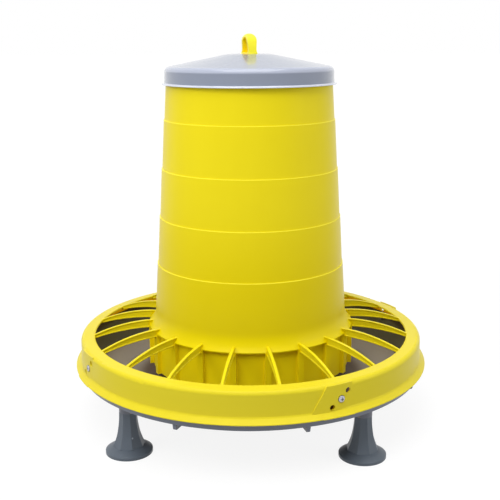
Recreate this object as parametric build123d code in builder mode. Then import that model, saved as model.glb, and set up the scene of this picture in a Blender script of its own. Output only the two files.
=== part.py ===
from build123d import *
from math import cos, degrees, radians, sin
import os

# Poultry feeder: a tapered hopper moulded in one with its feeding grille, on a round pan
# with four feet, closed by a conical lid that carries a hanging loop.
# Millimetres, +Z up, origin on the floor under the axis, front towards -Y.
# Heights in the profiles are counted from the seat, where grille and pan meet.

SEAT_Z = 82.5  # seat above the floor

# Hopper tube
TUBE_R = 140.0  # outside radius that the tube's taper has at the seat
TAPER = 0.0695  # radius lost for each millimetre of height
RIM_H = 402.0
TUBE_WALL = 2.8
LEDGE_H = 140.8  # lowest of the small ledges that mark the filling
LEDGE_PITCH = 66.2
LEDGES = 4
LEDGE_STEP = 1.0

# Flare, lip and skirt at the foot of the tube
FLARE_H = 76.0
LIP_R = 145.0
LIP_TOP_H = 53.0
LIP_H = 51.6
SKIRT_R = 140.3
SKIRT_WALL = 3.0
SKIRT_H = -5.0

# Grille: ribs, the pilasters under them and the outer ring
RIBS = 20
RIB_TURN = 9.0
RIB_START = (137.6, 59.4)  # radius and height along a rib's top edge
RIB_MIDDLE = (181.0, 54.8)
RIB_END = (224.4, 40.6)
RIB_DEPTH_START = 11.2
RIB_DEPTH_MIDDLE = 9.6
RIB_DEPTH_END = 5.4
WEB_T = 2.6
BEAD_W = 4.2
BEAD_H = 2.0
BEAD_ROUND = 0.7
PILASTER_W = 8.0
PILASTER_R = 145.8
RING_IN_R = 221.8
RING_TOP_H = 41.0
RING_T = 2.6
RING_SHOULDER_R = 235.6
RING_SHOULDER_H = 40.0
SHOULDER_DROP = 6.0
WALL_R = 241.5
WALL_IN_R = 239.0
FLANGE_R = 249.2
FLANGE_EDGE = 1.0
FLANGE_T = 2.4

# Raised pad round each site's holes, with a slanting step on its left and a wider flange
PAD_RISE = 1.1
PAD_STEP = ((-41.0, 5.0), (-20.0, 41.0))  # along the wall and up, from the site's middle
PAD_LENGTH = 57.0
PAD_FLANGE_TURN = -6.5
PAD_FLANGE_ARC = 10.0
PAD_FLANGE_R = 250.0

# Height setting holes: three a site, on a slant, with a screw in the middle one
SITES = 4
SITE_TURN = 27.0
HOLES = ((-3.0, 11.0), (0.0, 19.9), (2.3, 29.3))  # turn from the site in degrees, height
HOLE_R = 3.7
SCREW_H = 19.9
HEAD_R = 4.4
HEAD_H = 2.8
SPOT_R = 5.2
SPOT_X = 241.6
SHANK_R = 2.5
SHANK_END_X = 227.4
NUT_FLATS = 8.0
NUT_T = 4.0
CROSS_L = 4.6
CROSS_T = 1.1

# Pan
PAN_RIM_R = 243.5
PAN_RIM_LOW_R = 241.5
PAN_LIP_H = -9.5
PAN_T = 2.4
PAN_TOP_H = 25.5
PAN_TOP_R = 238.4
PAN_WALL_FOOT = (223.4, -16.0)  # outside of the steep wall's foot
PAN_SLOPE_FOOT = (190.0, -28.4)  # inside of the slope's foot, on the flat floor
CONE_R = 112.0
CONE_H = -9.0
BOSS_R = 8.0
BOSS_HOLE_R = 2.75
NUT_SEAT_X = 232.1
GUSSET_T = 4.0
GUSSET_SWING = 25.0
GUSSET_TIP = (238.5, -17.5)
GUSSET_ROOT_R = 222.0

# Feet
FEET = 4
FOOT_TURN = 42.0
FOOT_CENTRE_R = 216.0
COLLAR_R = 11.5
COLLAR_H = -26.0
PEG_R = 8.2
PEG_H = -44.0
FOOT_CURVE = (  # distance of the flat sides from the foot's axis, and height
    (10.9, -26.0),
    (11.6, -40.0),
    (12.7, -48.5),
    (14.3, -57.0),
    (16.7, -65.0),
    (19.6, -72.5),
)
DISH_TOP_H = -72.5
DISH_NECK_R = 19.6
FOOT_SIDES = 8
DISH_R = 30.8
DISH_RIM = 3.8
FOOT_WALL = 2.4
FOOT_BORE_H = -52.0

# Lid and its loop
LID_SKIRT_R = 114.9
LID_LIP_R = 118.4
LID_LIP_H = 386.2
LID_LIP_T = 1.7
LID_IN_R = 113.45
LID_SHOULDER_R = 107.0
LID_SHOULDER_H = 410.2
LID_FLAT_R = 19.0
LID_TOP_H = 426.0
LID_T = 2.4
LOOP_TURN = -72.0
LOOP_L = 32.0
LOOP_W = 13.7
LOOP_OUTER = (  # half of the arch's side, then its mirror
    (-16.0, 0.0),
    (-13.6, 14.5),
    (-10.2, 22.0),
    (0.0, 26.2),
    (10.2, 22.0),
    (13.6, 14.5),
    (16.0, 0.0),
)
LOOP_HOLE = (
    (-11.4, 1.6),
    (-9.4, 12.5),
    (-6.4, 19.0),
    (0.0, 21.5),
    (6.4, 19.0),
    (9.4, 12.5),
    (11.4, 1.6),
)
LOOP_FRONT = (
    (-6.9, 0.0),
    (-6.3, 14.5),
    (-5.4, 22.5),
    (0.0, 26.6),
    (5.4, 22.5),
    (6.3, 14.5),
    (6.9, 0.0),
)
PRONG_X = 12.6
PRONG_L = 3.6
PRONG_W = 8.0
PRONG_HOOK = 1.2

QUARTERS = ("back_right", "back_left", "front_left", "front_right")

# Radial section: x is the radius, y the height above the seat
SECTION = Plane(origin=(0, 0, SEAT_Z), x_dir=(1, 0, 0), z_dir=(0, -1, 0))


def tube_radius(height):
    """Outside radius of the hopper's plain taper."""
    return TUBE_R - TAPER * height


def level(height):
    """Horizontal plane at a height above the seat."""
    return Plane.XY.offset(SEAT_Z + height)


def polar(radius, turn):
    """Point in a level plane, at a turn in degrees from +X."""
    return (radius * cos(radians(turn)), radius * sin(radians(turn)))


def save(piece, name):
    piece.label = name
    export_step(piece, f"parts/{name}.step")


# Hopper section, from the rim down the outside, over the lip and back up the inside
outside = [(tube_radius(RIM_H), RIM_H)]
for ledge in reversed(range(LEDGES)):
    ledge_h = LEDGE_H + ledge * LEDGE_PITCH
    outside.append((tube_radius(ledge_h) - LEDGE_STEP / 2, ledge_h))
    outside.append((tube_radius(ledge_h) + LEDGE_STEP / 2, ledge_h))
outside.append((tube_radius(FLARE_H), FLARE_H))

skirt_in_r = SKIRT_R - SKIRT_WALL
tube_in_r = tube_radius(FLARE_H) - TUBE_WALL
inner_flare_h = LIP_TOP_H

# One rib: a thin web with a rounded bead along its top and its lower edge
with BuildPart() as rib:
    top_points = [RIB_START, RIB_MIDDLE, RIB_END]
    depths = [RIB_DEPTH_START, RIB_DEPTH_MIDDLE, RIB_DEPTH_END]
    low_points = [(r, h - depth) for (r, h), depth in zip(top_points, depths)]
    with BuildSketch(SECTION):
        with BuildLine():
            top = ThreePointArc(*top_points)
            low = ThreePointArc(*low_points)
            Line(top @ 0, low @ 0)
            Line(top @ 1, low @ 1)
        make_face()
    extrude(amount=WEB_T / 2, both=True)
    for upper, rise in ((top_points, 0.0), (low_points, BEAD_H)):
        with BuildSketch(SECTION):
            with BuildLine():
                crest = ThreePointArc(*[(r, h + rise) for r, h in upper])
                base = ThreePointArc(*[(r, h + rise - BEAD_H) for r, h in upper])
                Line(crest @ 0, base @ 0)
                Line(crest @ 1, base @ 1)
            make_face()
        extrude(amount=BEAD_W / 2, both=True)
    bead_edges = rib.edges().filter_by(GeomType.CIRCLE)
    crests = bead_edges.filter_by(lambda e: abs(abs(e.center().Y) - BEAD_W / 2) < 0.01)
    fillet(crests, radius=BEAD_ROUND)

# Cutters for the three holes of one site and the flat under the screw's head
with BuildPart() as drill:
    with BuildSketch(Plane.YZ.offset(WALL_IN_R - 5)):
        Circle(HOLE_R)
    extrude(amount=15)

with BuildPart() as site_holes:
    for turn, height in HOLES:
        add(drill.part.translate((0, 0, SEAT_Z + height)).rotate(Axis.Z, turn))
    with BuildSketch(Plane(origin=(SPOT_X, 0, SEAT_Z + SCREW_H), z_dir=(1, 0, 0))):
        Circle(SPOT_R)
    extrude(amount=5)

# Pad of one site: thickest at its slanting step, it runs out into the wall on the right
with BuildPart() as pad:
    with BuildSketch(level(PAD_STEP[0][1])):
        with BuildLine():
            step_turn = degrees(PAD_STEP[0][0] / WALL_R)
            end_turn = step_turn + degrees(PAD_LENGTH / WALL_R)
            face = [polar(WALL_R + PAD_RISE, step_turn), polar(WALL_R + PAD_RISE * 0.8, 0)]
            ThreePointArc(*face, polar(WALL_R - 0.4, end_turn))
            inner = [polar(WALL_R - 1.2, turn) for turn in (end_turn, 0, step_turn)]
            back = ThreePointArc(*inner)
            Line(face[0], back @ 1)
            Line(polar(WALL_R - 0.4, end_turn), back @ 0)
        make_face()
    extrude(amount=RING_SHOULDER_H - 0.6 - PAD_STEP[0][1])
    with BuildSketch(Plane.YZ.offset(WALL_R - 10)):
        Polygon(
            (PAD_STEP[0][0], SEAT_Z + PAD_STEP[0][1]),
            (PAD_STEP[1][0], SEAT_Z + PAD_STEP[1][1]),
            (PAD_LENGTH, SEAT_Z + PAD_STEP[1][1]),
            (PAD_LENGTH, SEAT_Z + PAD_STEP[0][1]),
            align=None,
        )
    extrude(amount=20, mode=Mode.INTERSECT)
    # The flange is a little wider below the holes
    with BuildSketch(SECTION.rotated((0, 0, PAD_FLANGE_TURN), ordering=Extrinsic.XYZ)):
        Polygon(
            (WALL_R + 1.2, 6.0),
            (FLANGE_R - 0.4, FLANGE_EDGE + 0.6),
            (PAD_FLANGE_R, FLANGE_EDGE),
            (PAD_FLANGE_R, 0),
            (FLANGE_R - FLANGE_T, 0),
            align=None,
        )
    revolve(axis=Axis.Z, revolution_arc=PAD_FLANGE_ARC)

with BuildPart() as hopper:
    with BuildSketch(SECTION):
        with BuildLine():
            Polyline(*outside)
            TangentArc(outside[-1], (LIP_R, LIP_TOP_H), tangent=(0, -1))
            Polyline(
                (LIP_R, LIP_TOP_H),
                (LIP_R, LIP_H),
                (TUBE_R, LIP_H),
                (SKIRT_R, SKIRT_H),
                (skirt_in_r, SKIRT_H),
                (skirt_in_r, inner_flare_h),
            )
            TangentArc((tube_in_r, FLARE_H), (skirt_in_r, inner_flare_h), tangent=(0, -1))
            Polyline((tube_in_r, FLARE_H), (outside[0][0] - TUBE_WALL, RIM_H), outside[0])
        make_face()
    revolve(axis=Axis.Z)

    # Outer ring: a hooked section with a sloping flange that sits on the pan
    with BuildSketch(SECTION):
        with BuildLine():
            Polyline(
                (RING_IN_R, RING_TOP_H - RING_T),
                (RING_IN_R, RING_TOP_H - 0.9),
                (RING_IN_R + 1.2, RING_TOP_H),
                (RING_SHOULDER_R, RING_SHOULDER_H),
            )
            TangentArc(
                (RING_SHOULDER_R, RING_SHOULDER_H),
                (WALL_R - 0.3, RING_SHOULDER_H - SHOULDER_DROP),
                tangent=(1, 0),
            )
            Polyline(
                (WALL_R - 0.3, RING_SHOULDER_H - SHOULDER_DROP),
                (WALL_R, 8.0),
                (WALL_R + 1.2, 6.0),
                (FLANGE_R, FLANGE_EDGE),
                (FLANGE_R, 0),
                (FLANGE_R - FLANGE_T, 0),
                (WALL_R + 1.2, 6.0 - FLANGE_T),
                (WALL_R, 0),
                (WALL_IN_R, 0),
                (WALL_IN_R, RING_SHOULDER_H - SHOULDER_DROP),
                (RING_SHOULDER_R, RING_SHOULDER_H - RING_T),
                (RING_IN_R, RING_TOP_H - RING_T),
            )
        make_face()
    revolve(axis=Axis.Z)

    # Pilasters stiffen the skirt, one under each rib
    with BuildSketch(level(SKIRT_H)):
        with PolarLocations((PILASTER_R + SKIRT_R - 1) / 2, RIBS, start_angle=RIB_TURN):
            Rectangle(PILASTER_R - SKIRT_R + 1, PILASTER_W)
    extrude(amount=LIP_H - SKIRT_H)

    with PolarLocations(0, RIBS, start_angle=RIB_TURN):
        add(rib.part)
    with PolarLocations(0, SITES, start_angle=SITE_TURN):
        add(pad.part)
    with PolarLocations(0, SITES, start_angle=SITE_TURN):
        add(site_holes.part, mode=Mode.SUBTRACT)
save(hopper.part, "hopper")

# Boss on the pan's wall that meets the ring, with a hole for the screw
with BuildPart() as boss:
    with BuildSketch(SECTION):
        Polygon(
            (NUT_SEAT_X - 2, SCREW_H - BOSS_R - 1),
            (WALL_IN_R, SCREW_H - BOSS_R - 1),
            (WALL_IN_R, PAN_TOP_H),
            (NUT_SEAT_X - 2, PAN_TOP_H),
            align=None,
        )
    revolve(axis=Axis.Z)
    with BuildSketch(Plane.YZ.offset(NUT_SEAT_X)):
        with Locations((0, SEAT_Z + SCREW_H)):
            Circle(BOSS_R)
    extrude(amount=PAN_TOP_R, mode=Mode.INTERSECT)

with BuildPart() as gusset:
    with BuildSketch(SECTION):
        Polygon(
            (PAN_RIM_LOW_R - 1.0, PAN_LIP_H + 0.6),
            GUSSET_TIP,
            (GUSSET_TIP[0] - 2.0, GUSSET_TIP[1] - 1.0),
            (GUSSET_ROOT_R, GUSSET_TIP[1] - 1.0),
            (GUSSET_ROOT_R, -1.0),
            (PAN_RIM_LOW_R - 1.0, -1.0),
            align=None,
        )
    extrude(amount=GUSSET_T / 2, both=True)

# Hollow of the pan, up past its rim
pan_wall_in = PAN_TOP_R - PAN_T
with BuildPart() as pan_hollow:
    with BuildSketch(SECTION):
        Polygon(
            (0, CONE_H),
            (CONE_R, PAN_SLOPE_FOOT[1]),
            PAN_SLOPE_FOOT,
            (PAN_WALL_FOOT[0] - PAN_T, PAN_WALL_FOOT[1]),
            (pan_wall_in, PAN_TOP_H),
            (pan_wall_in, PAN_TOP_H + 10),
            (0, PAN_TOP_H + 10),
            align=None,
        )
    revolve(axis=Axis.Z)

# Pan: raised centre, flat floor, a slope and a steep wall with an outer rim for the ring
with BuildPart() as pan:
    with BuildSketch(SECTION):
        Polygon(
            (0, CONE_H - PAN_T),
            (CONE_R, PAN_SLOPE_FOOT[1] - PAN_T),
            (PAN_SLOPE_FOOT[0] + 1.0, PAN_SLOPE_FOOT[1] - PAN_T),
            (PAN_WALL_FOOT[0], PAN_WALL_FOOT[1] - PAN_T),
            (229.2, -PAN_T),
            (PAN_RIM_R - PAN_T, -PAN_T),
            (PAN_RIM_LOW_R - PAN_T, PAN_LIP_H),
            (PAN_RIM_LOW_R, PAN_LIP_H),
            (PAN_RIM_R, 0),
            (229.9, 0),
            (PAN_TOP_R, PAN_TOP_H),
            (0, PAN_TOP_H),
            align=None,
        )
    revolve(axis=Axis.Z)

    # Collars that the feet meet, and pegs that the feet are pushed on
    for radius, low, height in ((COLLAR_R, COLLAR_H, 10.0), (PEG_R, PEG_H, 24.0)):
        with BuildSketch(level(low)):
            with PolarLocations(FOOT_CENTRE_R, FEET, start_angle=FOOT_TURN):
                Circle(radius)
        extrude(amount=height)
    for swing in (-GUSSET_SWING, GUSSET_SWING):
        with PolarLocations(0, FEET, start_angle=FOOT_TURN + swing):
            add(gusset.part)
    add(pan_hollow.part, mode=Mode.SUBTRACT)
    with PolarLocations(0, SITES, start_angle=SITE_TURN):
        add(boss.part)
    for index in range(SITES):
        turned = Plane.YZ.rotated((0, 0, SITE_TURN + index * 360 / SITES), ordering=Extrinsic.XYZ)
        with BuildSketch(turned.offset(NUT_SEAT_X - 1)):
            with Locations((0, SEAT_Z + SCREW_H)):
                Circle(BOSS_HOLE_R)
        extrude(amount=10, mode=Mode.SUBTRACT)
save(pan.part, "pan")

# Foot: a hollow trumpet with flat sides over a round dish, pushed on the pan's peg
with BuildPart() as foot:
    for turn in range(FOOT_SIDES // 2):
        upright_plane = Plane.XZ.rotated((0, 0, turn * 360 / FOOT_SIDES))
        with BuildSketch(upright_plane):
            with BuildLine():
                right = Spline(*[(r, SEAT_Z + h) for r, h in FOOT_CURVE])
                left = Spline(*[(-r, SEAT_Z + h) for r, h in FOOT_CURVE])
                Line(right @ 0, left @ 0)
                Line(right @ 1, left @ 1)
            make_face()
        if turn == 0:
            extrude(amount=DISH_R, both=True)
        else:
            extrude(amount=DISH_R, both=True, mode=Mode.INTERSECT)
    with BuildSketch(Plane.XZ):
        with BuildLine():
            Polyline((0, SEAT_Z + DISH_TOP_H), (DISH_NECK_R, SEAT_Z + DISH_TOP_H))
            Spline(
                (DISH_NECK_R, SEAT_Z + DISH_TOP_H),
                (DISH_R - 4.4, DISH_RIM + 2.8),
                (DISH_R, DISH_RIM),
            )
            Polyline((DISH_R, DISH_RIM), (DISH_R, 0), (0, 0), (0, SEAT_Z + DISH_TOP_H))
        make_face()
    revolve(axis=Axis.Z)
    with BuildSketch(Plane.XZ):
        Polygon(
            (0, SEAT_Z + COLLAR_H + 1),
            (PEG_R, SEAT_Z + COLLAR_H + 1),
            (PEG_R, SEAT_Z + FOOT_BORE_H),
            (FOOT_CURVE[-1][0] - FOOT_WALL, SEAT_Z + DISH_TOP_H - 0.6),
            (DISH_R - FOOT_WALL - 4.0, DISH_RIM + 0.2),
            (DISH_R - FOOT_WALL, DISH_RIM - 2.0),
            (DISH_R - FOOT_WALL, 0),
            (0, 0),
            align=None,
        )
    revolve(axis=Axis.Z, mode=Mode.SUBTRACT)

for index, quarter in enumerate(QUARTERS):
    stood = foot.part.translate((FOOT_CENTRE_R, 0, 0))
    save(stood.rotate(Axis.Z, FOOT_TURN + index * 360 / FEET), f"foot_{quarter}")

# Screw with a domed cross head, and its nut inside the pan's wall
with BuildPart() as screw:
    with BuildSketch(Plane.XZ):
        with BuildLine():
            Polyline(
                (SHANK_END_X, 0),
                (SHANK_END_X, SHANK_R),
                (SPOT_X, SHANK_R),
                (SPOT_X, HEAD_R),
                (SPOT_X + 0.8, HEAD_R),
            )
            Spline(
                (SPOT_X + 0.8, HEAD_R),
                (SPOT_X + 2.0, HEAD_R - 1.3),
                (SPOT_X + HEAD_H, 0),
                tangents=((1, 0), (0, -1)),
            )
            Line((SPOT_X + HEAD_H, 0), (SHANK_END_X, 0))
        make_face()
    revolve(axis=Axis.X)
    with BuildSketch(Plane.YZ.offset(SPOT_X + 0.8)):
        Rectangle(CROSS_L, CROSS_T)
        Rectangle(CROSS_T, CROSS_L)
    extrude(amount=HEAD_H, mode=Mode.SUBTRACT)

with BuildPart() as nut:
    with BuildSketch(Plane.YZ.offset(NUT_SEAT_X - NUT_T)):
        RegularPolygon(NUT_FLATS / 2, 6, major_radius=False)
        Circle(SHANK_R, mode=Mode.SUBTRACT)
    extrude(amount=NUT_T)

for index, quarter in enumerate(QUARTERS):
    angle = SITE_TURN + index * 360 / SITES
    for piece, kind in ((screw.part, "screw"), (nut.part, "nut")):
        raised = piece.translate((0, 0, SEAT_Z + SCREW_H))
        save(raised.rotate(Axis.Z, angle), f"{kind}_{quarter}")

# Cutter for the two slots that the loop's prongs pass through
with BuildPart() as slots:
    with BuildSketch(level(LID_TOP_H - 2 * LID_T)):
        with Locations((-PRONG_X, 0), (PRONG_X, 0)):
            Rectangle(PRONG_L + 0.4, PRONG_W + 0.4)
    extrude(amount=3 * LID_T)

# Lid: a conical shell with a turned out lip, and a flat shoulder that rests on the rim
with BuildPart() as lid:
    with BuildSketch(SECTION):
        with BuildLine():
            Line((0, LID_TOP_H), (LID_FLAT_R, LID_TOP_H))
            Spline(
                (LID_FLAT_R, LID_TOP_H),
                (2 * LID_FLAT_R, LID_TOP_H - 2.0),
                tangents=((1, 0), (LID_SHOULDER_R - 2 * LID_FLAT_R, LID_SHOULDER_H - LID_TOP_H + 2.0)),
            )
            Line((2 * LID_FLAT_R, LID_TOP_H - 2.0), (LID_SHOULDER_R, LID_SHOULDER_H))
            ThreePointArc(
                (LID_SHOULDER_R, LID_SHOULDER_H),
                (LID_SKIRT_R - 2.4, LID_SHOULDER_H - 2.6),
                (LID_SKIRT_R - 0.4, LID_SHOULDER_H - 7.0),
            )
            Polyline(
                (LID_SKIRT_R - 0.4, LID_SHOULDER_H - 7.0),
                (LID_SKIRT_R, LID_LIP_H + LID_LIP_T + 1.0),
                (LID_SKIRT_R + 1.2, LID_LIP_H + LID_LIP_T),
                (LID_LIP_R - 0.5, LID_LIP_H + LID_LIP_T - 0.2),
                (LID_LIP_R, LID_LIP_H + LID_LIP_T - 0.7),
                (LID_LIP_R, LID_LIP_H),
                (LID_IN_R, LID_LIP_H),
                (LID_IN_R - 0.9, RIM_H),
                (LID_SHOULDER_R + 0.6, RIM_H),
                (LID_SHOULDER_R - 1.4, LID_SHOULDER_H - LID_T + 0.2),
                (2 * LID_FLAT_R, LID_TOP_H - 2.0 - LID_T),
                (LID_FLAT_R, LID_TOP_H - LID_T),
                (0, LID_TOP_H - LID_T),
                (0, LID_TOP_H),
            )
        make_face()
    revolve(axis=Axis.Z)
    add(slots.part.rotate(Axis.Z, LOOP_TURN), mode=Mode.SUBTRACT)
save(lid.part, "lid")

# Loop: a tapering strap arch on a thin foot, held through the lid by two hooked prongs
with BuildPart() as loop:
    with BuildSketch(Plane.XZ.offset(0)):
        with BuildLine():
            arch = Spline(*[(x, SEAT_Z + LID_TOP_H + h) for x, h in LOOP_OUTER])
            Line(arch @ 0, arch @ 1)
        make_face()
    extrude(amount=LOOP_W, both=True)
    with BuildSketch(Plane.YZ):
        with BuildLine():
            front = Spline(*[(y, SEAT_Z + LID_TOP_H + h) for y, h in LOOP_FRONT])
            Line(front @ 0, front @ 1)
        make_face()
    extrude(amount=LOOP_L, both=True, mode=Mode.INTERSECT)
    with BuildSketch(Plane.XZ):
        with BuildLine():
            hole_edge = Spline(*[(x, SEAT_Z + LID_TOP_H + h) for x, h in LOOP_HOLE])
            Line(hole_edge @ 0, hole_edge @ 1)
        make_face()
    extrude(amount=LOOP_W, both=True, mode=Mode.SUBTRACT)
    for side in (-1, 1):
        with BuildSketch(Plane.XZ):
            with Locations((side * PRONG_X, SEAT_Z + LID_TOP_H - LID_T)):
                Rectangle(PRONG_L, 2 * LID_T + 1.0)
            Polygon(
                (side * (PRONG_X + PRONG_L / 2), SEAT_Z + LID_TOP_H - LID_T),
                (side * (PRONG_X + PRONG_L / 2 + PRONG_HOOK), SEAT_Z + LID_TOP_H - LID_T),
                (side * (PRONG_X + PRONG_L / 2), SEAT_Z + LID_TOP_H - 2 * LID_T - 0.5),
                align=None,
            )
        extrude(amount=PRONG_W / 2, both=True)
save(loop.part.rotate(Axis.Z, LOOP_TURN), "lid_loop")
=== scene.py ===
import math

import bpy
from mathutils import Matrix, Vector


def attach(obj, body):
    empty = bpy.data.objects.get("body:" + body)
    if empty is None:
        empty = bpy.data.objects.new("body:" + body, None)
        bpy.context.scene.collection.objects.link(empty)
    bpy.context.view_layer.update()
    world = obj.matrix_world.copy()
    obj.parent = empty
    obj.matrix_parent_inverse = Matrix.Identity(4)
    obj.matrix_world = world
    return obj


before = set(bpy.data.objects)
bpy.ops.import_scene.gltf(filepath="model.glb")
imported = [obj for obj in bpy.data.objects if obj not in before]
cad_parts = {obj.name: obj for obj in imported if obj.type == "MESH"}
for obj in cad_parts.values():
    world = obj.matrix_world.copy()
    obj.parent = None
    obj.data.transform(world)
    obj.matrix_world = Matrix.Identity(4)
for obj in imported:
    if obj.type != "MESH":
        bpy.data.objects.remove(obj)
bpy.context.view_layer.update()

# Shader building

WHITE = (1.0, 1.0, 1.0, 1.0)
BLACK = (0.0, 0.0, 0.0, 1.0)


class Signal:
    """A value that changes over a surface: a node's output that takes part in Python sums."""

    def __init__(self, finish, socket):
        self.finish, self.socket = finish, socket

    def sum(self, operation, first, second):
        return self.finish.node("ShaderNodeMath", {"operation": operation}, {0: first, 1: second})

    def __add__(self, other):
        return self.sum("ADD", self, other)

    def __radd__(self, other):
        return self.sum("ADD", other, self)

    def __sub__(self, other):
        return self.sum("SUBTRACT", self, other)

    def __rsub__(self, other):
        return self.sum("SUBTRACT", other, self)

    def __mul__(self, other):
        return self.sum("MULTIPLY", self, other)

    def __rmul__(self, other):
        return self.sum("MULTIPLY", other, self)

    def __pow__(self, other):
        return self.sum("POWER", self, other)

    def at_least(self, other):
        return self.sum("MAXIMUM", self, other)

    def at_most(self, other):
        return self.sum("MINIMUM", self, other)

    def floor(self):
        return self.sum("FLOOR", self, 0.0)


class Finish:
    """The nodes of one material or of the world."""

    def __init__(self, owner):
        self.owner = owner
        owner.use_nodes = True
        self.tree = owner.node_tree
        self.tree.nodes.clear()

    def node(self, kind, settings=None, inputs=None, output=0):
        made = self.tree.nodes.new(kind)
        for name, value in (settings or {}).items():
            setattr(made, name, value)
        for name, value in (inputs or {}).items():
            if isinstance(value, Signal):
                self.tree.links.new(value.socket, made.inputs[name])
            else:
                made.inputs[name].default_value = value
        return Signal(self, made.outputs[output] if made.outputs else None)

    def place(self, stretch=(1, 1, 1)):
        """Where a point is on the object, in metres, stretched along the axes."""
        spot = self.node("ShaderNodeTexCoord", output="Object")
        return self.node("ShaderNodeVectorMath", {"operation": "MULTIPLY"}, {0: spot, 1: stretch})

    def length(self, arrow):
        return self.node("ShaderNodeVectorMath", {"operation": "LENGTH"}, {0: arrow}, "Value")

    def along(self, direction):
        """How far a point is from the object's origin in that direction, in metres."""
        inputs = {0: self.place(), 1: direction}
        return self.node("ShaderNodeVectorMath", {"operation": "DOT_PRODUCT"}, inputs, "Value")

    def height(self):
        return self.along((0, 0, 1))

    def radius(self):
        """How far a point is from the object's upright axis, in metres."""
        return self.length(self.place((1, 1, 0)))

    def noise(self, scale, detail=2.0, stretch=(1, 1, 1), roughness=0.5):
        inputs = {
            "Vector": self.place(stretch),
            "Scale": scale,
            "Detail": detail,
            "Roughness": roughness,
        }
        return self.node("ShaderNodeTexNoise", inputs=inputs)

    def between(self, value, low, high, start=0.0, end=1.0):
        """The value's stretch from low to high, spread smoothly from start to end."""
        inputs = {
            "Value": value,
            "From Min": low,
            "From Max": high,
            "To Min": start,
            "To Max": end,
        }
        return self.node("ShaderNodeMapRange", {"interpolation_type": "SMOOTHSTEP"}, inputs)

    def past(self, value, edge, fade):
        """1 where the value is past the edge and 0 before it, with a soft step that wide."""
        return self.between(value, edge - fade / 2, edge + fade / 2)

    def before(self, value, edge, fade):
        """1 where the value is before the edge and 0 past it, with a soft step that wide."""
        return self.between(value, edge - fade / 2, edge + fade / 2, 1.0, 0.0)

    def seen(self):
        """1 for rays that show a thing: to the camera, in gloss or through glass. 0 for light."""
        rays = [
            self.node("ShaderNodeLightPath", output=f"Is {kind} Ray")
            for kind in ("Camera", "Glossy", "Transmission")
        ]
        return rays[0].at_least(rays[1]).at_least(rays[2])

    def blend(self, share, first, second):
        inputs = {0: share, 6: first, 7: second}
        return self.node("ShaderNodeMix", {"data_type": "RGBA"}, inputs, 2)

    def bump(self, height, depth, strength, **under):
        inputs = {"Height": height, "Distance": depth, "Strength": strength, **under}
        return self.node("ShaderNodeBump", inputs=inputs)

    def shade(self, **sockets):
        """Ends the material with the main shader, its sockets named with _ for each space."""
        inputs = {name.replace("_", " "): value for name, value in sockets.items()}
        shader = self.node("ShaderNodeBsdfPrincipled", inputs=inputs)
        self.node("ShaderNodeOutputMaterial", inputs={"Surface": shader})
        return self.owner


def rgb(red, green, blue):
    """A colour as it looks on a screen, 0 to 255, as a shader's colour."""
    def linear(level):
        share = level / 255
        return share / 12.92 if share <= 0.04045 else ((share + 0.055) / 1.055) ** 2.4
    return (linear(red), linear(green), linear(blue), 1.0)


# Zones of the finishes: functions that give where a zone lies, from 0 to 1


def zone(beyond=None, within=None, above=None, below=None):
    """What lies beyond and within those radii, above and below those heights.

    Each limit is a radius from the upright axis or a height above the floor, and the width over
    which the zone fades there, in metres.
    """
    def share(finish):
        steps = []
        for limit, step, measure in (
            (beyond, finish.past, finish.radius),
            (within, finish.before, finish.radius),
            (above, finish.past, finish.height),
            (below, finish.before, finish.height),
        ):
            if limit:
                steps.append(step(measure(), *limit))
        whole = steps[0]
        for other in steps[1:]:
            whole = whole * other
        return whole
    return share


# The hopper's lower tube and flare, painted a deeper yellow for the shade low down and the yellow
# light bounced onto it
TUBE_FOOT = zone(within=(0.14675, 0.0025), below=(0.265, 0.13))
# Its outer ring, painted a little darker for the shade low down, with a painted sheen that pales
# its yellow
RING = zone(beyond=(0.2225, 0.002))
# Its thin ribs, their yellow painted for the light that falls on them
RIBS = zone(beyond=(0.1475, 0.003), within=(0.22125, 0.0015))
# Its skirt under the flare, thin too, painted brighter and a deeper yellow for the yellow light
# bounced onto it
SKIRT = zone(within=(0.1481, 0.0038), below=(0.1335, 0.002))
# The inside of the ring's outer wall, given a painted orange glow for the light that comes
# through it
RING_INSIDE = zone(beyond=(0.2265, 0.002), within=(0.2394, 0.0006), below=(0.1196, 0.0012))

# The turn of the lid's shoulder, painted paler as a highlight
LID_SHOULDER_HIGHLIGHT = zone(above=(0.48635, 0.0023), below=(0.4925, 0.002))
# The lip that stands out round the lid's lower edge, painted pale as a highlight
LID_LIP_HIGHLIGHT = zone(beyond=(0.1155, 0.0006))

# The bottom of the pan, painted paler and warmer for the light through the gaps and a yellow
# sheen
PAN_FLOOR = zone(within=(0.2205, 0.002))
# The band of it under the skirt's edge, painted dark brown as the skirt's shadow and its yellow
# reflection
PAN_SHADE_BY_SKIRT = zone(within=(0.161, 0.022))
# The steep inside of the pan, painted dark olive for its shade and the yellow reflected in it
PAN_WALL = zone(beyond=(0.2215, 0.002), above=(0.069, 0.004))
# The pan's turned down rim and bottom edge
PAN_RIM = zone(beyond=(0.2385, 0.002), below=(0.08225, 0.0025))
# The top of the pan's wall, shut in behind the ring, painted dark as shade
PAN_SHADE_BEHIND_RING = zone(beyond=(0.2335, 0.002), above=(0.08525, 0.0035))

LEDGES = 4
LOWEST_LEDGE = 0.2233  # height of the lowest ledge on the hopper
LEDGE_PITCH = 0.0662
LEDGE_HALF = 0.0005  # half the height of a ledge's painted highlight
LEDGE_FADE = 0.0008


def painted_ledge_highlights(finish):
    """The painted highlight along the edge of each small ledge on the hopper."""
    steps = (finish.height() - LOWEST_LEDGE) * (1 / LEDGE_PITCH)
    nearest = (steps + 0.5).floor().at_least(0).at_most(LEDGES - 1)
    off = (steps - nearest) * LEDGE_PITCH
    return finish.before(off.at_least(off * -1), LEDGE_HALF, LEDGE_FADE)


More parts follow.
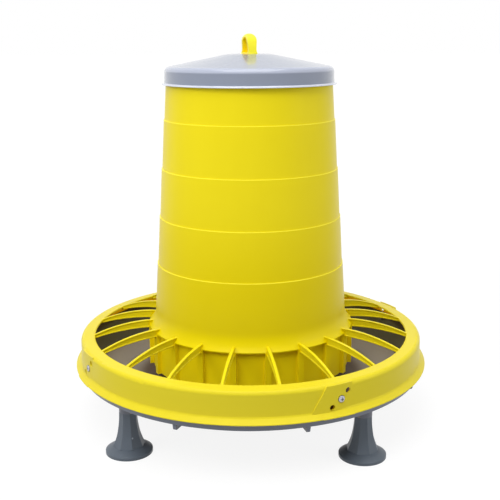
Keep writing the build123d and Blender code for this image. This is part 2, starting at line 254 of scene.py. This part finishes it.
LOOP_TURN = math.radians(-72)
LOOP_SPAN = (math.cos(LOOP_TURN), math.sin(LOOP_TURN), 0)  # the way the loop's arch spans
LOOP_HOLE_SPRING = 0.5145  # height where the sides of the loop's hole turn into its arch
LOOP_HOLE_HALF = 0.0122  # half its width
LOOP_HOLE_RISE = 0.01724  # from there to its top


def loop_hole(finish):
    """The inside of the loop, painted a deeper yellow for the light that comes through the strap.
    """
    across = finish.along(LOOP_SPAN) * (1 / LOOP_HOLE_HALF)
    up = (finish.height() - LOOP_HOLE_SPRING).at_least(0) * (1 / LOOP_HOLE_RISE)
    return finish.before(across ** 2 + up ** 2, edge=1.025, fade=0.15)


# Finishes


def moulded_plastic(
    name, colour, shade, gloss, grain, specular=0.5, coat=0.0, streaks=1.0, zones=(), glow=()
):
    """Injection moulded plastic: flow streaks in the colour, an uneven gloss and a fine skin.

    The colour shifts to the shade in streaks. The grain is the skin's depth in metres. Each of
    the zones is a zone and its colour, and so is the glow: painted light given off where it lies.
    """
    finish = Finish(bpy.data.materials.new(name))
    cloud = finish.noise(scale=7, detail=3)
    streak = finish.noise(scale=26, detail=4, stretch=(1, 1, 0.18), roughness=0.6)
    share = finish.between(cloud * 0.6 + streak * 0.4, low=0.3, high=0.7)
    rubbing = finish.noise(scale=160, detail=5, stretch=(1, 1, 0.5), roughness=0.65)
    scuff = finish.between(rubbing, low=0.5, high=0.78)
    base = finish.blend(share, colour, shade)
    for where, tone in zones:
        base = finish.blend(where(finish), base, tone)
    skin = finish.bump(finish.noise(scale=520), depth=grain, strength=0.5)
    waves = finish.noise(scale=38, detail=1)
    wavy_skin = finish.bump(waves, depth=grain * 6, strength=0.35 * streaks, Normal=skin)
    light = {}
    if glow:
        where, tone = glow
        light["Emission_Color"] = finish.blend(where(finish), BLACK, tone)
        light["Emission_Strength"] = 1.0
    return finish.shade(
        Base_Color=base,
        Roughness=gloss + streaks * (0.05 * share + 0.07 * scuff),
        Normal=wavy_skin,
        Specular_IOR_Level=specular,
        Coat_Weight=coat,
        Coat_Roughness=0.06,
        **light,
    )


def plated_steel(name):
    """Zinc plated steel: a dull crystalline bloom over bright metal."""
    finish = Finish(bpy.data.materials.new(name))
    bloom = finish.noise(scale=900, detail=4, roughness=0.7)
    share = finish.between(bloom, low=0.35, high=0.65)
    return finish.shade(
        Base_Color=finish.blend(share, rgb(196, 196, 206), rgb(168, 168, 180)),
        Roughness=0.3 + 0.14 * share,
        Normal=finish.bump(bloom, depth=0.00006, strength=0.4),
        Metallic=1.0,
    )


YELLOW = moulded_plastic(
    "yellow_moulding",
    colour=rgb(240, 221, 28),
    shade=rgb(237, 217, 24),
    gloss=0.32,
    grain=0.00008,
    specular=0.15,
    zones=(
        (TUBE_FOOT, rgb(230, 209, 0)),
        (RING, rgb(226, 209, 42)),
        (RIBS, rgb(236, 218, 24)),
        (painted_ledge_highlights, rgb(251, 239, 58)),
        (SKIRT, rgb(250, 227, 12)),
    ),
    # painted light: an orange glow given off by the inside of the ring's wall
    glow=(RING_INSIDE, rgb(138, 88, 0)),
)
LOOP_YELLOW = moulded_plastic(
    "yellow_loop_moulding",
    colour=rgb(253, 243, 60),
    shade=rgb(250, 239, 52),
    gloss=0.34,
    grain=0.00008,
    specular=0.3,
    zones=((loop_hole, rgb(255, 226, 4)),),
)
LID_GREY = moulded_plastic(
    "blue_grey_lid",
    colour=rgb(132, 140, 158),
    shade=rgb(130, 138, 156),
    gloss=0.2,
    grain=0.00003,
    coat=0.7,
    streaks=0.3,
    zones=(
        (LID_SHOULDER_HIGHLIGHT, rgb(165, 171, 189)),
        (LID_LIP_HIGHLIGHT, rgb(210, 214, 229)),
    ),
)
PAN_GREY = moulded_plastic(
    "grey_pan",
    colour=rgb(113, 116, 126),
    shade=rgb(105, 108, 118),
    gloss=0.36,
    grain=0.0001,
    zones=(
        (PAN_FLOOR, rgb(146, 138, 128)),
        (PAN_SHADE_BY_SKIRT, rgb(78, 60, 42)),
        (PAN_WALL, rgb(88, 86, 70)),
        (PAN_RIM, rgb(113, 118, 132)),
        (PAN_SHADE_BEHIND_RING, rgb(52, 43, 26)),
    ),
)
FOOT_GREY = moulded_plastic(
    "slate_foot",
    colour=rgb(98, 107, 118),
    shade=rgb(89, 98, 108),
    gloss=0.4,
    grain=0.0001,
    specular=0.4,
)
PIP_GREY = moulded_plastic(
    "slate_pip",
    colour=rgb(168, 176, 186),
    shade=rgb(150, 158, 168),
    gloss=0.3,
    grain=0.00005,
)
STEEL = plated_steel("plated_steel")

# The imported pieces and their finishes, by how the pieces' names start: lid_loop is before lid

FINISHES = {
    "lid_loop": LOOP_YELLOW,
    "hopper": YELLOW,
    "lid": LID_GREY,
    "pan": PAN_GREY,
    "foot": FOOT_GREY,
    "screw": STEEL,
    "nut": STEEL,
}
for node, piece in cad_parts.items():
    kind = next(start for start in FINISHES if node.startswith(start))
    for slot in piece.material_slots:
        slot.material = FINISHES[kind]

# Gate marks: the small pip that moulding leaves on one flat side of each foot

MARK = Vector((-0.15399, -0.15837, 0.0241))  # on the front left foot
MARK_FACING = Vector((0.648, -0.717, 0.257))
FEET = 4
PIP_SIDES = 20
PIP_PROFILE = (  # radius and height in millimetres, from the foot to the nipped-off middle
    (1.15, -0.3),
    (1.1, 0.1),
    (0.98, 0.32),
    (0.75, 0.48),
    (0.5, 0.55),
    (0.32, 0.53),
    (0.22, 0.4),
)


def pip_mesh():
    """A low round dome with a small hollow where the runner was nipped off."""
    points = []
    for radius, height in PIP_PROFILE:
        for side in range(PIP_SIDES):
            angle = 2 * math.pi * side / PIP_SIDES
            spot = (radius * math.cos(angle), radius * math.sin(angle), height)
            points.append([value / 1000 for value in spot])
    rings = [
        list(range(level * PIP_SIDES, (level + 1) * PIP_SIDES))
        for level in range(len(PIP_PROFILE))
    ]
    faces = []
    for low, high in zip(rings, rings[1:]):
        for side in range(PIP_SIDES):
            after = (side + 1) % PIP_SIDES
            faces.append((low[side], low[after], high[after], high[side]))
    faces.append(rings[-1])
    faces.append(rings[0][::-1])
    mesh = bpy.data.meshes.new("gate_mark")
    mesh.from_pydata(points, [], faces)
    mesh.polygons.foreach_set("use_smooth", [True] * len(faces))
    mesh.materials.append(PIP_GREY)
    return mesh


for foot in range(FEET):
    pip = bpy.data.objects.new(f"gate_mark_{foot + 1}", pip_mesh())
    bpy.context.scene.collection.objects.link(pip)
    turn = Matrix.Rotation(2 * math.pi * foot / FEET, 3, "Z")
    pip.location = turn @ MARK
    pip.rotation_euler = (turn @ MARK_FACING).to_track_quat("Z", "Y").to_euler()
    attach(pip, "root")

# Floor and light

FLOOR_REACH = 30  # metres from the middle to each side
FLOOR_LIT = (0.5, 0.5, 0.5, 1.0)  # the floor as it throws light back on the object
FLOOR_SEEN = (0.9, 0.9, 0.9, 1.0)
FLOOR_GLOW = 1.04
FADE_FROM, FADE_TO = 0.5, 1.4  # metres from the middle over which the shadow fades out
GLOW_SHARE = 0.85  # how much of the floor under the object glows white and shows no shadow
SKY_FROM, SKY_TO = 0.1, 0.9  # how far back a direction points, where the sky brightens
SKY_ABOVE = 0.35  # added straight above
SKY_DIMMEST = 0.14  # in front and below


def white_floor():
    """A wide white floor that fades into the white behind the object and keeps its shadow."""
    mesh = bpy.data.meshes.new("floor")
    sides = ((-1, -1), (1, -1), (1, 1), (-1, 1))
    corners = [(FLOOR_REACH * across, FLOOR_REACH * along, 0) for across, along in sides]
    mesh.from_pydata(corners, [], [(0, 1, 2, 3)])
    floor = bpy.data.objects.new("floor", mesh)
    bpy.context.scene.collection.objects.link(floor)
    finish = Finish(bpy.data.materials.new("white_floor"))
    seen = finish.seen()
    lit = finish.node("ShaderNodeBsdfDiffuse", inputs={"Color": FLOOR_LIT})
    white = finish.node("ShaderNodeBsdfDiffuse", inputs={"Color": FLOOR_SEEN})
    matt = finish.node("ShaderNodeMixShader", inputs={0: seen, 1: lit, 2: white})
    glow = finish.node("ShaderNodeEmission", inputs={"Color": WHITE, "Strength": FLOOR_GLOW})
    away = finish.length(finish.place())
    share = seen * finish.between(away, FADE_FROM, FADE_TO, GLOW_SHARE, 1.0)
    surface = finish.node("ShaderNodeMixShader", inputs={0: share, 1: matt, 2: glow})
    finish.node("ShaderNodeOutputMaterial", inputs={"Surface": surface})
    mesh.materials.append(finish.owner)


def studio_world():
    """White all round where it is seen; as light, white behind and above, dimmer in front."""
    world = bpy.data.worlds.new("studio")
    bpy.context.scene.world = world
    finish = Finish(world)
    direction = finish.node("ShaderNodeTexCoord", output="Generated")
    split = "ShaderNodeSeparateXYZ"
    back = finish.node(split, inputs={0: direction}, output="Y")
    up = finish.node(split, inputs={0: direction}, output="Z")
    behind = finish.between(back, SKY_FROM, SKY_TO)
    light = (behind + SKY_ABOVE * up).at_least(SKY_DIMMEST).at_most(1.0)
    seen = finish.seen()
    strength = seen + (1 - seen) * light
    sky = finish.node("ShaderNodeBackground", inputs={"Color": WHITE, "Strength": strength})
    finish.node("ShaderNodeOutputWorld", inputs={"Surface": sky})


def softbox(name, place, aim, size, level, glossy=True):
    """A square lamp that lights a white surface facing it at the aim to that level."""
    throw = Vector(aim) - Vector(place)
    data = bpy.data.lights.new(name, "AREA")
    data.size = size
    data.energy = level * math.pi ** 2 * throw.length ** 2
    lamp = bpy.data.objects.new(name, data)
    lamp.location = place
    lamp.rotation_euler = throw.to_track_quat("-Z", "Y").to_euler()
    lamp.visible_glossy = glossy
    bpy.context.scene.collection.objects.link(lamp)


MIDDLE, TUBE, TUBE_TOP = (0, 0, 0.28), (0, 0, 0.42), (0, 0, 0.45)
white_floor()
studio_world()
softbox("top_softbox", (0, -0.5, 2.4), MIDDLE, size=2.0, level=0.58)
softbox("front_softbox", (-0.35, -1.1, 1.6), TUBE_TOP, size=0.9, level=0.41, glossy=False)
softbox("left_softbox", (-1.35, -0.85, 1.25), TUBE, size=0.9, level=0.35, glossy=False)
softbox("right_softbox", (2.4, -0.6, 1.2), MIDDLE, size=1.6, level=0.25, glossy=False)

# Camera, at the photograph's angle

CAMERA_RISE = math.radians(76.43)  # from looking straight down
CAMERA_TURN = math.radians(-0.285)

camera = bpy.data.objects.new("camera", bpy.data.cameras.new("camera"))
camera.data.lens = 62.68
camera.data.shift_x = 0.0004
camera.location = (-0.00046, -1.2, 0.5264)
camera.rotation_mode = "ZYX"
camera.rotation_euler = (CAMERA_RISE, 0, CAMERA_TURN)
bpy.context.scene.collection.objects.link(camera)
bpy.context.scene.camera = camera

bpy.context.scene.view_settings.view_transform = "Standard"
